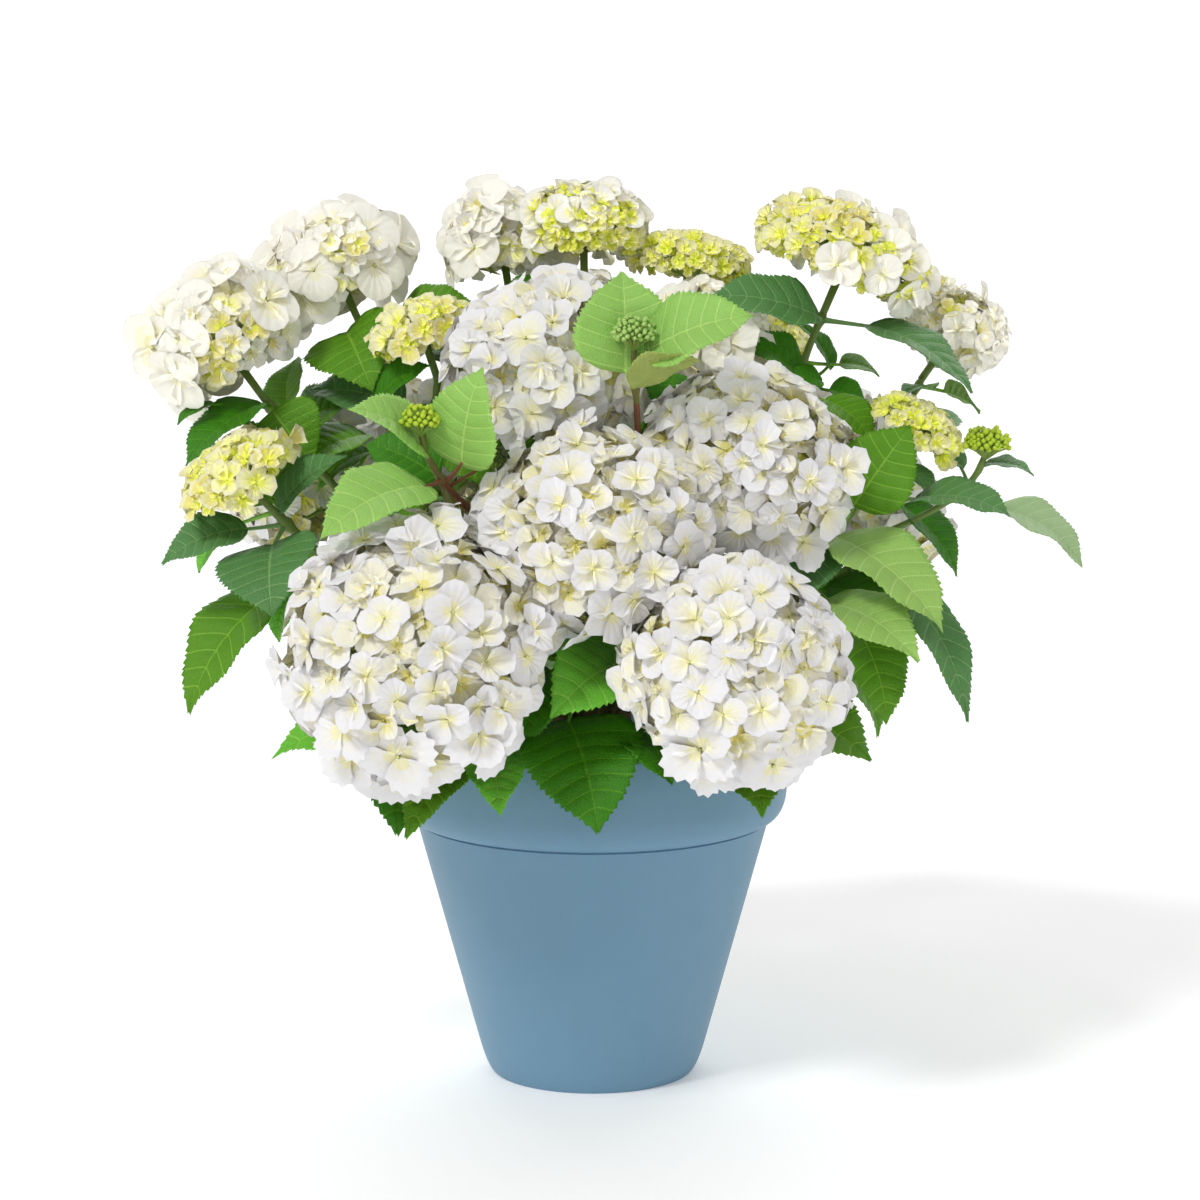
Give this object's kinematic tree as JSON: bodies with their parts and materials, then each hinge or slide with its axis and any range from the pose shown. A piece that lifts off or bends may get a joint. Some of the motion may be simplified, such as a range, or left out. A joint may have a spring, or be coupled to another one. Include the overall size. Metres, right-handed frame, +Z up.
{
  "type": "potted hydrangea",
  "caption": "Bushy mophead hydrangea in a round tapered plastic pot: woody stump, canes, leafy shoots and domed white to lime flower heads.",
  "frame": {"origin": "centre of the pot's flat underside, on the floor", "axes": "+Z up along the pot's axis; -Y towards the front, where the biggest flower heads hang; +X to the right seen from the front"},
  "size_m": [0.6186, 0.5434, 0.5929],
  "materials": {
    "pot": "matte",
    "compost": "rough",
    "bark": "rough",
    "leaf": "satin",
    "white": "matte",
    "lime": "matte"
  },
  "bodies": {
    "root": {"pot": "pot", "compost": "compost", "trunk": "bark", "cane_front_left": "bark", "cane_front_right": "bark", "cane_middle": "bark", "cane_right": "bark", "cane_centre": "bark", "cane_low_left": "bark", "cane_left": "bark", "cane_upper_left": "bark", "cane_top": "bark", "cane_top_right": "bark", "cane_upper_right": "bark", "cane_low_right": "bark", "cane_back_left": "bark", "cane_back": "bark", "cane_back_right": "bark", "shoot_front_left": "leaf", "shoot_front_right": "leaf", "shoot_middle": "leaf", "shoot_right": "leaf", "shoot_centre": "leaf", "shoot_low_left": "leaf", "shoot_left": "leaf", "shoot_upper_left": "leaf", "shoot_top": "leaf", "shoot_top_right": "leaf", "shoot_upper_right": "leaf", "shoot_low_right": "leaf", "shoot_back_left": "leaf", "shoot_back": "leaf", "shoot_back_right": "leaf", "head_front_left": "white", "head_front_right": "white", "head_middle": "white", "head_right": "white", "head_centre": "white", "head_low_left": "lime", "head_left": "white", "head_upper_left": "white", "head_small_left": "lime", "head_top_white": "white", "head_top": "lime", "head_top_right": "lime", "head_inner": "white", "head_upper_right": "lime", "head_far_right": "white", "head_small_right": "lime", "head_back_left_low": "white", "head_back_left": "white", "head_back": "white", "head_back_upper": "white", "head_back_right": "white", "head_back_right_low": "white", "head_back_right_upper": "lime"}
  },
  "joints": []
}
